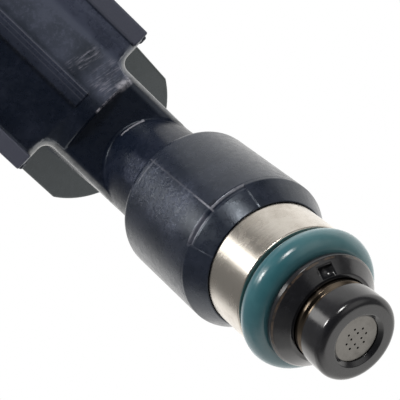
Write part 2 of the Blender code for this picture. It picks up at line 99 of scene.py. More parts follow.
def make_world():
    """A white tent with a strip and three round lamps, dark on the side it is looked into from."""
    world = bpy.data.worlds.new("studio")
    bpy.context.scene.world = world
    world.use_nodes = True
    tree = world.node_tree
    tree.nodes.clear()
    link = tree.links.new
    place = tree.nodes.new("ShaderNodeTexCoord").outputs["Generated"]

    def join(operation, *values):
        node = tree.nodes.new("ShaderNodeMath")
        node.operation = operation
        for socket, value in zip(node.inputs, values):
            if isinstance(value, (int, float)):
                socket.default_value = value
            else:
                link(value, socket)
        return node.outputs[0]

    def along(axis):
        dot = tree.nodes.new("ShaderNodeVectorMath")
        dot.operation = "DOT_PRODUCT"
        link(place, dot.inputs[0])
        dot.inputs[1].default_value = axis
        return dot.outputs["Value"]

    def fade(value, start, stop, strength=1.0):
        """Rises smoothly from 0 at start to the strength at stop, whichever is larger."""
        node = tree.nodes.new("ShaderNodeMapRange")
        node.interpolation_type = "SMOOTHSTEP"
        up = start < stop
        node.inputs["From Min"].default_value = start if up else stop
        node.inputs["From Max"].default_value = stop if up else start
        node.inputs["To Min"].default_value = 0.0 if up else strength
        node.inputs["To Max"].default_value = strength if up else 0.0
        link(value, node.inputs["Value"])
        return node.outputs["Result"]

    def lobe(axis, inner, outer, strength):
        """A round lamp, full inside the inner angle and gone at the outer one."""
        start, stop = (math.cos(math.radians(angle)) for angle in (outer, inner))
        return fade(along(studio(*axis)), start, stop, strength)

    right, up, back = along(studio(1, 0, 0)), along(studio(0, 1, 0)), along(studio(0, 0, 1))
    tent = join("MULTIPLY", fade(back, 0.04, -0.22, TENT), fade(right, -0.85, -0.56))
    tent = join("MULTIPLY", tent, join("SUBTRACT", 1.0, lobe((-0.66, 0.74, -0.06), 6, 17, 0.85)))
    tent = join("MULTIPLY", tent, join("SUBTRACT", 1.0, fade(up, 0.7, 0.92, 0.25)))
    table = join("MULTIPLY", fade(up, -0.3, -0.55, TABLE), fade(right, -0.8, 0.3))
    table = join("MULTIPLY", table, fade(back, 0.55, 0.2))
    total = join("MAXIMUM", tent, table)
    total = join("ADD", total, fade(back, 0.95, 0.6, DIM))
    # the left lamp is a strip that runs from behind to in front of the object
    climb = join("ARCTAN2", up, join("MULTIPLY", right, -1.0))
    strip = join("MULTIPLY", fade(climb, 0.26, 0.36), fade(climb, 0.67, 0.55))
    depth = join("MULTIPLY", fade(back, -0.36, -0.26, STRIP), fade(back, 0.5, 0.4))
    strip = join("MULTIPLY", strip, depth)
    total = join("ADD", total, strip)
    total = join("ADD", total, lobe((-0.85, 0.37, 0.37), 5, 9, LEFT_CORE))
    total = join("ADD", total, lobe((-0.11, 0.71, 0.70), 5, 9, TOP_CORE))
    total = join("ADD", total, lobe((0.62, 0.35, 0.70), 8, 34, SIDE))
    total = join("ADD", total, AMBIENT)

    light = tree.nodes.new("ShaderNodeBackground")
    light.inputs["Color"].default_value = (1.0, 0.985, 0.96, 1.0)
    link(total, light.inputs["Strength"])
    plain = tree.nodes.new("ShaderNodeBackground")
    plain.inputs["Color"].default_value = (1.0, 1.0, 1.0, 1.0)
    plain.inputs["Strength"].default_value = 1.0
    ray = tree.nodes.new("ShaderNodeLightPath")
    mix = tree.nodes.new("ShaderNodeMixShader")
    link(ray.outputs["Is Camera Ray"], mix.inputs[0])
    link(light.outputs[0], mix.inputs[1])
    link(plain.outputs[0], mix.inputs[2])
    out = tree.nodes.new("ShaderNodeOutputWorld")
    link(mix.outputs[0], out.inputs["Surface"])


def make_floor():
    shape = bmesh.new()
    bmesh.ops.create_grid(shape, x_segments=1, y_segments=1, size=FLOOR_HALF)
    mesh = bpy.data.meshes.new("floor")
    shape.to_mesh(mesh)
    shape.free()
    floor = bpy.data.objects.new("floor", mesh)
    bpy.context.scene.collection.objects.link(floor)
    floor.location.z = FLOOR_Z
    paint = bpy.data.materials.new("floor")
    paint.use_nodes = True
    shader = paint.node_tree.nodes["Principled BSDF"]
    shader.inputs["Base Color"].default_value = (0.9, 0.9, 0.9, 1)
    shader.inputs["Roughness"].default_value = 0.9
    mesh.materials.append(paint)
    floor.visible_glossy = False
    floor.visible_diffuse = False
    floor.visible_shadow = False


# ---------------------------------------------------------------- material tools
class Surface:
    """Builds one node material; values are sockets or plain numbers."""

    def __init__(self, name):
        self.mat = bpy.data.materials.new(name)
        self.mat.use_nodes = True
        self.tree = self.mat.node_tree
        self.shader = self.tree.nodes["Principled BSDF"]
        self.place = self.new("TexCoord").outputs["Object"]
        self.height = None
        parts = self.new("SeparateXYZ")
        self.link(self.place, parts.inputs[0])
        self.x, self.y, self.z = (self.times(parts.outputs[i], 1000.0) for i in range(3))

    def new(self, kind):
        return self.tree.nodes.new("ShaderNode" + kind)

    def link(self, value, socket):
        if isinstance(value, (int, float, tuple)):
            socket.default_value = value
        else:
            self.tree.links.new(value, socket)

    def math(self, operation, *values):
        node = self.new("Math")
        node.operation = operation
        for socket, value in zip(node.inputs, values):
            self.link(value, socket)
        return node.outputs[0]

    def times(self, a, b):
        return self.math("MULTIPLY", a, b)

    def plus(self, a, b):
        return self.math("ADD", a, b)

    def minus(self, a, b):
        return self.math("SUBTRACT", a, b)

    def radius(self):
        """Distance from the valve axis."""
        return self.math("SQRT", self.plus(self.times(self.x, self.x), self.times(self.y, self.y)))

    def noise(self, per_mm, detail=3.0, rough=0.55, stretch=(1, 1, 1), place=None):
        """Noise with about this many features to the millimetre."""
        mapping = self.new("Mapping")
        mapping.inputs["Scale"].default_value = [s * per_mm * 1000 for s in stretch]
        self.link(place or self.place, mapping.inputs["Vector"])
        node = self.new("TexNoise")
        node.inputs["Scale"].default_value = 1.0
        node.inputs["Detail"].default_value = detail
        node.inputs["Roughness"].default_value = rough
        self.link(mapping.outputs[0], node.inputs["Vector"])
        return node.outputs["Fac"]

    def ramp(self, value, low, high, to_low=0.0, to_high=1.0):
        """Runs smoothly from one number at low to another at high."""
        node = self.new("MapRange")
        node.interpolation_type = "SMOOTHSTEP"
        for key, number in (("From Min", low), ("From Max", high), ("To Min", to_low), ("To Max", to_high)):
            node.inputs[key].default_value = number
        self.link(value, node.inputs["Value"])
        return node.outputs["Result"]

    def below(self, value, low, high):
        """1 up to low, fading to 0 at high."""
        return self.ramp(value, low, high, 1.0, 0.0)

    def within(self, value, low, high, soft):
        """1 between low and high, fading to 0 over the soft distance outside."""
        return self.times(self.ramp(value, low - soft, low), self.below(value, high, high + soft))

    def all_of(self, *masks):
        total = masks[0]
        for mask in masks[1:]:
            total = self.times(total, mask)
        return total

    def any_of(self, *masks):
        total = masks[0]
        for mask in masks[1:]:
            total = self.math("MAXIMUM", total, mask)
        return total

    def put_together(self, x, y, z):
        """A point in metres from three numbers or sockets in millimetres."""
        node = self.new("CombineXYZ")
        for socket, value in zip(node.inputs, (x, y, z)):
            self.link(self.times(value, MM), socket)
        return node.outputs[0]

    def mix(self, factor, a, b):
        node = self.new("Mix")
        node.data_type = "RGBA"
        self.link(factor, node.inputs["Factor"])
        for key, value in (("A", a), ("B", b)):
            socket = [s for s in node.inputs if s.name == key and s.type == "RGBA"][0]
            self.link((*value, 1.0) if isinstance(value, tuple) else value, socket)
        return [s for s in node.outputs if s.type == "RGBA"][0]

    def bump(self, height, depth_mm):
        """Adds relief: the height runs from 0 to 1 over this depth."""
        scaled = self.times(height, depth_mm * MM)
        self.height = scaled if self.height is None else self.plus(self.height, scaled)

    def done(self, colour, roughness, metallic=0.0, ior=1.5):
        if self.height is not None:
            node = self.new("Bump")
            node.inputs["Strength"].default_value = 1.0
            node.inputs["Distance"].default_value = 1.0
            self.link(self.height, node.inputs["Height"])
            self.link(node.outputs[0], self.shader.inputs["Normal"])
        self.link((*colour, 1.0) if isinstance(colour, tuple) else colour, self.shader.inputs["Base Color"])
        self.link(roughness, self.shader.inputs["Roughness"])
        self.link(metallic, self.shader.inputs["Metallic"])
        self.shader.inputs["IOR"].default_value = ior
        return self.mat


def moulded_plastic(name, dark, light, rough):
    """Satin glass-filled plastic: cloudy colour and fine grain."""
    s = Surface(name)
    clouds = s.ramp(s.noise(0.35, 4.0, 0.6), 0.42, 0.75)
    flecks = s.ramp(s.noise(2.2, 5.0, 0.7), 0.52, 0.8)
    colour = s.mix(s.times(s.plus(s.times(clouds, 0.7), s.times(flecks, 0.5)), 0.5), dark, light)
    s.bump(s.noise(5.0, 3.0, 0.6), 0.006)
    s.bump(s.noise(1.1, 3.0, 0.5, stretch=(1.0, 1.0, 0.25)), 0.012)
    return s.done(colour, s.ramp(s.noise(1.4, 4.0, 0.6), 0.3, 0.75, *rough))


def paint_flow_marks_and_glints(s, colour, lower_side):
    """Marks where the plastic came together on the plug's underside, and scuffs and painted highlights at the
    end of its belly.
    """
    x, v = s.x, s.v
    turn = math.radians(12.7)
    along = s.plus(s.times(x, math.cos(turn)), s.times(v, math.sin(turn)))
    across = s.minus(s.times(v, math.cos(turn)), s.times(x, math.sin(turn)))
    drawn = s.put_together(s.times(along, 0.12), across, 0.0)
    streaks = s.ramp(s.noise(3.4, 5.0, 0.75, place=drawn), 0.45, 0.72)
    patches = s.ramp(s.noise(0.8, 2.0, 0.5), 0.3, 0.55)
    near_end = s.all_of(s.within(v, -6.8, -4.1, 0.8), s.within(x, 2.2, 5.2, 0.8))
    higher = s.all_of(s.within(across, -9.9, -8.9, 0.5), s.within(x, 1.8, 5.0, 0.6))
    flow = s.all_of(s.any_of(near_end, higher), streaks, patches, lower_side)
    colour = s.mix(s.times(flow, 0.95), colour, (0.28, 0.28, 0.34))

    # the edge at the end of the belly is scuffed, and carries painted highlights in two places
    bowed = s.minus(v, s.times(s.times(x, x), BOW))
    end = s.times(s.within(bowed, -4.08, -3.85, 0.1), lower_side)
    scuff = s.all_of(end, s.ramp(s.noise(3.5, 4.0, 0.7), 0.42, 0.6), s.within(x, 0.2, 3.6, 0.3))
    broken_up = s.ramp(s.noise(2.5, 3.0, 0.6), 0.25, 0.6)
    # painted highlights: a pale patch near the right end of the edge, and a small spot near its middle
    highlight_patch = s.all_of(lower_side, s.within(bowed, -4.3, -3.9, 0.5), s.within(x, 4.0, 5.0, 0.6), broken_up)
    highlight_spot = s.all_of(end, s.within(x, 0.25, 0.6, 0.15))
    bright = s.any_of(s.times(scuff, 0.55), highlight_patch, highlight_spot)
    return s.mix(s.times(bright, 0.9), colour, (0.5, 0.49, 0.55))


def paint_mould_lines_and_glints(s, colour):
    """Fine raised lines where the mould's parts met, painted pale partly as their own flash and partly as
    painted highlights; a painted highlight on the lip, a painted glint on the fillet where the web meets the
    stem, and painted shade in a small wedge.
    """
    x, z, azimuth = s.x, s.z, s.azimuth
    front = s.below(s.y, -5.2, -5.0)
    seam = s.all_of(s.within(x, -0.05, 0.05, 0.07), front, s.within(z, 9.6, 23.0, 0.4))
    seam = s.times(seam, s.ramp(z, 11.0, 13.5, 1.0, 0.22))
    rim_right = s.all_of(s.within(azimuth, 0, 28, 1), s.within(z, 9.6, 9.72, 0.08))
    two_lines = s.any_of(s.within(z, 9.68, 9.8, 0.07), s.within(z, 9.3, 9.4, 0.06))
    rim_left = s.all_of(s.within(azimuth, -22, -11, 8), two_lines)
    cut_sides = s.any_of(s.within(azimuth, 27.6, 28.2, 0.5), s.within(azimuth, -28.6, -28.0, 0.5))
    cuts = s.all_of(s.below(z, 9.5, 9.7), cut_sides)
    top = s.all_of(s.within(azimuth, -15, -2, 7), s.within(z, 21.0, 21.12, 0.08), s.ramp(s.r, 7.6, 7.8))
    # painted highlight: a short glint line on the fillet where the web meets the stem
    step_z = s.minus(z, s.times(x, -0.03))
    glint = s.all_of(s.within(x, 0.25, 3.1, 0.15), s.within(step_z, 31.5, 31.62, 0.12), front)
    lines = ((seam, 0.6), (rim_right, 0.6), (rim_left, 0.4), (cuts, 0.04), (top, 0.3), (glint, 1.0))
    lines_and_glint = s.any_of(*(s.times(line, strength) for line, strength in lines))
    lines_and_glint = s.times(lines_and_glint, s.ramp(s.noise(1.6, 3.0, 0.6), 0.25, 0.6, 0.45, 1.0))

    # painted shade in a small wedge right of the V, and a painted highlight on the band of the lip
    wedge = s.all_of(s.within(azimuth, 1.5, 6.0, 2.0), s.within(z, 9.85, 10.15, 0.2))
    lip_highlight = s.all_of(s.within(azimuth, -26, -9, 5), s.within(z, 9.35, 9.7, 0.1))
    colour = s.mix(s.times(wedge, 0.5), colour, (0.001, 0.0015, 0.003))
    colour = s.mix(s.times(lip_highlight, 0.5), colour, (0.12, 0.125, 0.16))
    colour = s.mix(s.times(lines_and_glint, 0.8), colour, (0.38, 0.38, 0.43))
    s.bump(lines_and_glint, 0.015)
    return colour


def paint_edge_highlights(s, colour):
    """The rounded corners of the web and its fillets are painted pale as painted highlights."""
    x, v, w, side = s.x, s.v, s.w, s.side
    reach = s.below(side, 8.3, 8.6)
    # painted highlight along the web's rounded corners, weaker on the right and near the stem
    corner = s.all_of(s.within(w, 0.62, 1.5, 0.22), s.ramp(v, -7.4, -6.6), s.ramp(side, 5.2, 5.6), reach,
                      s.ramp(s.z, 27.5, 29.5))
    corner = s.times(corner, s.all_of(s.ramp(v, -3.2, -1.5, 1.0, 0.75), s.ramp(x, -1, 1, 1.0, 0.7)))
    uneven = s.ramp(s.noise(1.5, 3.0, 0.6), 0.2, 0.7, 0.5, 0.9)
    colour = s.mix(s.times(corner, uneven), colour, (0.3, 0.305, 0.305))
    # painted highlight on the fillets, weaker on the right
    fillet_highlight = s.all_of(s.ramp(x, -1.0, 1.0, 1.0, 0.5), s.within(v, -6.0, -4.2, 0.5),
                      s.within(w, 1.2, 1.6, 0.7), s.ramp(side, 5.7, 5.9), reach)
    return s.mix(s.times(fillet_highlight, 0.8), colour, (0.36, 0.36, 0.35))


def body_plastic(name):
    """The moulded body: one plastic whose finish changes over it as the mould's surfaces do, with painted
    highlights and painted shade laid into its colour.
    """
    s = Surface(name)
    yc, zc = s.minus(s.y, ROOT[1]), s.minus(s.z, ROOT[2])
    lean_cos, lean_sin = math.cos(TILT), math.sin(TILT)
    v = s.v = s.minus(s.times(yc, lean_cos), s.times(zc, lean_sin))
    w = s.w = s.plus(s.times(yc, lean_sin), s.times(zc, lean_cos))
    r = s.r = s.radius()
    # degrees round the valve axis from the connector's side
    azimuth = s.azimuth = s.times(s.math("ARCTAN2", s.x, s.times(s.y, -1.0)), 180 / math.pi)
    side = s.side = s.math("ABSOLUTE", s.x)
    x, z = s.x, s.z

    clouds = s.ramp(s.noise(0.3, 4.0, 0.6), 0.35, 0.75)
    flecks = s.ramp(s.noise(2.4, 5.0, 0.72), 0.47, 0.78)
    grain = s.noise(5.5, 3.0, 0.6)
    amount = s.plus(s.times(clouds, 0.55), s.times(flecks, 0.45))

    # where: the plug's underside and its parts, places on barrel and stem that get a mottled painted
    # highlight, the flange, the flat web
    lower_side = s.below(w, 1.6, 2.2)
    under = s.all_of(s.below(v, -4.0, -3.8), lower_side)
    rails = s.all_of(s.ramp(side, 8.2, 8.4), s.below(w, 1.6, 2.0), s.below(v, -5.8, -5.6))
    belly_ends = s.any_of(s.ramp(v, -8.5, -11.5), s.within(v, -6.6, -3.9, 2.0))
    right_belly_highlight = s.all_of(under, s.within(x, 2.2, 5.0, 1.6), belly_ends)
    rib_length = s.below(v, -6.1, -5.9)
    rib = s.all_of(under, s.within(x, -1.05, 1.05, 0.1), rib_length)
    edge_strip_highlight = s.all_of(under, s.ramp(x, 4.4, 5.6), s.below(x, 8.0, 8.15))
    valley_highlight = s.all_of(under, s.within(x, 5.6, 7.6, 0.8))
    # mottled painted highlight on the barrel and the stem, over the plastic's own mottle
    on_barrel = s.all_of(s.within(azimuth, -24.0, -6.0, 14.0), s.within(z, 13.5, 20.5, 3.0))
    on_stem = s.all_of(s.within(azimuth, -26, -9, 9), s.within(z, 23.6, 26.6, 2.0))
    mottle = s.ramp(s.noise(2.1, 4.0, 0.72), 0.42, 0.66)
    cloudy = s.times(s.any_of(on_barrel, s.times(on_stem, 1.5)), s.plus(0.35, s.times(mottle, 0.9)))
    flange = s.all_of(s.within(z, 48.0, 50.4, 0.1), s.ramp(r, 6.2, 6.6), s.ramp(s.y, -5.75, -5.6))
    flat_web = s.all_of(s.within(v, -3.8, 0.8, 0.3), s.below(w, 0.35, 0.6), s.below(side, 5.4, 5.8))

    # how much of the light colour shows in each place: the plastic's own grain everywhere, and painted
    # highlights on the right of the belly, the rails, the strip by the edge, the valley and the mottled
    # places on barrel and stem
    light = s.times(amount, 0.28)
    for mask, part in ((right_belly_highlight, 0.95), (rails, 0.8), (edge_strip_highlight, 0.6), (valley_highlight, 0.75), (cloudy, 0.62)):
        light = s.plus(light, s.times(mask, s.times(s.plus(amount, 0.45), part)))
    # a painted highlight on the rib, lighter towards its right, and painted shade on the flat web, which
    # keeps only a quarter of the light colour
    rib_highlight = s.all_of(rib, s.ramp(x, -1.0, 0.9, 0.22, 0.45), s.ramp(v, -9.5, -6.2, 1.0, 0.4))
    light = s.times(s.plus(light, rib_highlight), s.ramp(flat_web, 0.0, 1.0, 1.0, 0.25))
    colour = s.mix(light, (0.0045, 0.0075, 0.0165), (0.062, 0.071, 0.108))
    # the rails are painted lighter still, a painted highlight over their grain
    colour = s.mix(rails, colour, s.mix(grain, (0.06, 0.064, 0.09), (0.09, 0.094, 0.125)))
    colour = s.mix(flange, colour, s.mix(flecks, (0.056, 0.062, 0.058), (0.062, 0.068, 0.064)))

    # painted highlights on ridges along the rib, and painted shade in a trench beside it
    lines = ((0.84, 0.9, 1.0), (0.4, 0.44, 0.5), (-0.1, -0.06, 0.4))
    ridge_highlights = s.any_of(*(s.times(s.within(x, low, high, 0.05), strength) for low, high, strength in lines))
    ridge_highlights = s.all_of(ridge_highlights, under, rib_length)
    trench_shade = s.all_of(under, s.within(x, -1.3, -1.1, 0.25), s.below(v, -6.2, -5.9))
    colour = s.mix(s.times(ridge_highlights, 0.5), colour, (0.16, 0.165, 0.2))
    colour = s.mix(s.times(trench_shade, 0.7), colour, (0.003, 0.004, 0.008))
    colour = paint_flow_marks_and_glints(s, colour, lower_side)
    colour = paint_mould_lines_and_glints(s, colour)
    colour = paint_edge_highlights(s, colour)

    s.bump(s.times(grain, s.ramp(flange, 0.0, 1.0, 1.0, 0.2)), 0.006)
    s.bump(s.times(s.noise(1.2, 4.0, 0.55), s.ramp(flange, 0.0, 1.0, 1.0, 0.1)), 0.014)
    s.bump(s.times(s.noise(3.2, 4.0, 0.7), cloudy), 0.045)
    roughness = s.ramp(s.noise(1.4, 4.0, 0.6), 0.3, 0.75, 0.25, 0.36)
    roughness = s.plus(roughness, s.times(s.any_of(rails, right_belly_highlight), 0.12))
    # the stem reflects less, and least at its sides
    stem = s.all_of(s.within(z, 22.4, 46.0, 0.3), s.below(r, 6.2, 6.4))
    stem_sides = s.all_of(stem, s.ramp(s.math("ABSOLUTE", azimuth), 34, 58), 0.5)
    level = s.times(s.ramp(stem, 0.0, 1.0, 0.5, 0.22), s.minus(1.0, stem_sides))
    s.link(level, s.shader.inputs["Specular IOR Level"])
    s.shader.inputs["Specular Tint"].default_value = (0.8, 0.89, 1.0, 1.0)
    return s.done(colour, roughness)


def gloss_plastic(name):
    """Glossy black plastic with faint marks."""
    s = Surface(name)
    marks = s.ramp(s.noise(1.5, 5.0, 0.65), 0.45, 0.8)
    colour = s.mix(s.times(marks, 0.5), (0.011, 0.0112, 0.0135), (0.028, 0.0285, 0.033))
    # a hairline of moulding flash round the retainer's rim
    broken = s.ramp(s.noise(1.2, 3.0, 0.6), 0.35, 0.6)
    flash = s.all_of(s.within(s.z, -2.52, -2.42, 0.06), s.ramp(s.radius(), 5.4, 5.6), broken)
    colour = s.mix(s.times(flash, 0.6), colour, (0.11, 0.075, 0.05))
    roughness = s.ramp(s.noise(2.5, 4.0, 0.6), 0.35, 0.75, 0.12, 0.22)
    s.bump(s.noise(2.0, 3.0, 0.5), 0.003)
    s.bump(s.noise(0.5, 2.0, 0.5), 0.012)
    return s.done(colour, roughness, ior=1.54)


def seal_rubber(name):
    """Teal rubber with a light bloom, and painted light that makes it lighter on the right."""
    s = Surface(name)
    bloom = s.ramp(s.noise(0.9, 4.0, 0.6), 0.4, 0.75)
    colour = s.mix(s.times(bloom, 0.4), (0.026, 0.108, 0.13), (0.04, 0.142, 0.164))
    # painted light: the right side of the ring is painted lighter, where the light falls on it
    right_side_light = s.times(s.ramp(s.x, 1.0, 5.0), s.ramp(s.noise(0.35, 3.0, 0.5), 0.25, 0.6, 0.5, 1.0))
    colour = s.mix(s.times(right_side_light, 0.75), colour, (0.075, 0.175, 0.19))
    s.bump(s.noise(6.0, 3.0, 0.6), 0.0025)
    roughness = s.ramp(s.noise(3.0, 4.0, 0.6), 0.35, 0.75, 0.18, 0.27)
    s.shader.inputs["Sheen Weight"].default_value = 0.24
    s.shader.inputs["Sheen Roughness"].default_value = 0.5
    s.shader.inputs["Sheen Tint"].default_value = (0.75, 0.9, 1.0, 1.0)
    return s.done(colour, roughness)


def worked_metal(name, base, stain, rough, lines=0.004, blotch=0.6):
    """Bare metal with fine marks running round the axis and cloudy stains."""
    s = Surface(name)
    round_place = s.new("CombineXYZ")
    around = ((s.math("ARCTAN2", s.y, s.x), 0.0004), (s.radius(), 0.004), (s.z, 0.001))
    for socket, (value, scale) in zip(round_place.inputs, around):
        s.link(s.times(value, scale), socket)
    marks = s.noise(7.0, 4.0, 0.7, place=round_place.outputs[0])
    stains = s.ramp(s.noise(0.5, 5.0, 0.65), 0.38, 0.72)
    specks = s.ramp(s.noise(1.6, 3.0, 0.5), 0.66, 0.74)
    colour = s.mix(s.times(s.plus(stains, s.times(marks, 0.35)), blotch), base, stain)
    colour = s.mix(s.times(specks, 0.25), colour, tuple(0.45 * c for c in stain))
    s.bump(marks, lines)
    roughness = s.ramp(s.plus(s.times(marks, 0.5), s.times(stains, 0.5)), 0.2, 0.8, *rough)
    return s.done(colour, roughness, metallic=1.0)


def woven_metal(name):
    """Fine wire gauze wrapped round the axis: wires as crossed waves in relief."""
    s = Surface(name)
    over = s.math("SINE", s.times(s.math("ARCTAN2", s.y, s.x), 90.0))
    along = s.math("SINE", s.times(s.z, 42.0))
    weave = s.any_of(s.math("ABSOLUTE", over), s.math("ABSOLUTE", along))
    tarnish = s.ramp(s.noise(0.6, 4.0, 0.6), 0.4, 0.75)
    colour = s.mix(weave, (0.05, 0.048, 0.045), (0.6, 0.58, 0.54))
    colour = s.mix(s.times(tarnish, 0.4), colour, (0.32, 0.27, 0.2))
    s.bump(weave, 0.03)
    return s.done(colour, s.ramp(weave, 0.0, 1.0, 0.6, 0.3), metallic=1.0)


# ---------------------------------------------------------------- mesh tools
LATHE_STEPS = 160


def dress(obj, mat):
    """Gives a CAD node this material in all of its slots."""
    if not obj.material_slots:
        obj.data.materials.append(None)
    for slot in obj.material_slots:
        slot.link = "OBJECT"
        slot.material = mat


def add_piece(mesh, mat, node, replaces=True):
    """Shows this mesh on the body with this material, and hides the CAD node if it replaces it."""
    obj = bpy.data.objects.new(mesh.name, mesh)
    bpy.context.scene.collection.objects.link(obj)
    mesh.materials.append(mat)
    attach(obj, BODY)
    if replaces:
        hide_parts(node)
    return obj


def mesh_from(name, points, faces, sharp=None):
    """A smooth mesh from points in millimetres, with edges over the sharp angle kept crisp."""
    mesh = bpy.data.meshes.new(name)
    mesh.from_pydata((np.asarray(points) * MM).tolist(), [], [tuple(f) for f in faces])
    mesh.polygons.foreach_set("use_smooth", [True] * len(mesh.polygons))
    mesh.update()
    if sharp:
        mesh.set_sharp_from_angle(angle=math.radians(sharp))
    return mesh


def rounded_profile(corners, steps):
    """A closed (r, z) loop whose corners (r, z, radius) are replaced by arcs."""
    count = len(corners)
    out = []
    for i, (r, z, radius) in enumerate(corners):
        here = Vector((r, z))
        if radius <= 0:
            out.append((r, z))
            continue
        before = Vector(corners[i - 1][:2]) - here
        after = Vector(corners[(i + 1) % count][:2]) - here
        half = before.angle(after) / 2
        cut = min(radius / math.tan(half), 0.49 * before.length, 0.49 * after.length)
        radius = cut * math.tan(half)
        start = here + before.normalized() * cut
        stop = here + after.normalized() * cut
        middle = here + (before.normalized() + after.normalized()).normalized() * (radius / math.sin(half))
        a, b = start - middle, stop - middle
        sweep = a.angle_signed(b)
        for k in range(steps + 1):
            turned = a.copy()
            turned.rotate(Matrix.Rotation(-sweep * k / steps, 2))
            out.append(tuple(middle + turned))
    return out


def ring_faces(rings, count, closed=True):
    """Quads from each loop of this many points to the next, and from the last to the first if closed."""
    faces = []
    for i in range(rings if closed else rings - 1):
        j = (i + 1) % rings
        for k in range(count):
            m = (k + 1) % count
            faces.append((i * count + k, i * count + m, j * count + m, j * count + k))
    return faces


def lathe(name, loop):
    """A closed (r, z) loop, running down its outer side first, spun about Z."""
    count = len(loop)
    turn = np.arange(LATHE_STEPS) * 2 * np.pi / LATHE_STEPS
    r, z = np.array(loop).T
    height = np.broadcast_to(z, (LATHE_STEPS, count))
    points = np.stack([np.outer(np.cos(turn), r), np.outer(np.sin(turn), r), height], axis=-1)
    return mesh_from(name, points.reshape(-1, 3), ring_faces(LATHE_STEPS, count), 50)


def turned(name, mat, node, steps, *corners):
    """A skin turned from the (r, z, rounding) corners of its section, in place of a CAD node."""
    return add_piece(lathe(name, rounded_profile(corners, steps)), mat, node)


# ---------------------------------------------------------------- moulded body as a distance field
def polygon(px, py, outline):
    """Signed distance to a closed outline, negative inside."""
    near = np.full(px.shape, 1e9, np.float32)
    inside = np.zeros(px.shape, bool)
    count = len(outline)
    for i in range(count):
        ax, ay = outline[i - 1]
        bx, by = outline[i]
        ex, ey = bx - ax, by - ay
        wx, wy = px - ax, py - ay
        t = np.clip((wx * ex + wy * ey) / max(ex * ex + ey * ey, 1e-12), 0, 1)
        near = np.minimum(near, (wx - ex * t) ** 2 + (wy - ey * t) ** 2)
        if ay != by:
            crosses = ((ay > py) != (by > py)) & (px < ex * (py - ay) / ey + ax)
            inside ^= crosses
    return np.where(inside, -1, 1) * np.sqrt(near)


def box2(px, py, hx, hy):
    """Signed distance to a rectangle about the origin."""
    qx, qy = np.abs(px) - hx, np.abs(py) - hy
    return np.minimum(np.maximum(qx, qy), 0) + np.hypot(np.maximum(qx, 0), np.maximum(qy, 0))


def rounded(a, b, edge):
    """Where both shapes overlap, with a rounded edge."""
    a, b = a + edge, b + edge
    return np.minimum(np.maximum(a, b), 0) + np.hypot(np.maximum(a, 0), np.maximum(b, 0)) - edge


def raise_up(flat, height, low, high, edge):
    """A flat distance given a thickness, with rounded edges."""
    return rounded(flat, np.abs(height - (low + high) / 2) - (high - low) / 2, edge)


def box3(x, y, z, low, high, edge):
    """Signed distance to a box with rounded edges."""
    flat = box2(x - (low[0] + high[0]) / 2, y - (low[1] + high[1]) / 2,
                (high[0] - low[0]) / 2 - edge, (high[1] - low[1]) / 2 - edge) - edge
    return raise_up(flat, z, low[2], high[2], edge)


def blend(a, b, k):
    """Both shapes, joined by a fillet of about this size."""
    h = np.maximum(k - np.abs(a - b), 0) / k
    return np.minimum(a, b) - h * h * k / 4


def arc(cx, cy, radius, start, stop, steps):
    angles = np.radians(np.linspace(start, stop, steps + 1))
    return [(cx + radius * math.cos(a), cy + radius * math.sin(a)) for a in angles]


# outlines of the web and plug, seen along w, and of the flange, seen along the valve axis
WEB_HALF, SHOULDER_V, MOUTH_V, SHROUD_HALF, SHROUD_H, FILLET = 5.9, -5.7, -27.5, 9.5, 13.0, 1.3
WEB_FACE_W, RAIL_OUT, RAIL_V = 0.35, 10.35, MOUTH_V + 1.2
right_side = [(WEB_HALF, 8.0)] + arc(WEB_HALF + FILLET, SHOULDER_V + FILLET, FILLET, 180, 270, 10)
right_side += [(SHROUD_HALF, SHOULDER_V), (SHROUD_HALF, MOUTH_V)]
WEB_LINE = right_side + [(-x, v) for x, v in reversed(right_side)]
FLANGE_LOW, FLANGE_HIGH = 48.3, 50.1
# spacing of the surface points
CELL_QUICK, CELL = 0.25, 0.18
FLANGE_LINE = arc(0, 0, 11.6, 26.3, 153.7, 40) + [(-10.4, -4.5), (-9.4, -5.5), (9.4, -5.5), (10.4, -4.5)]


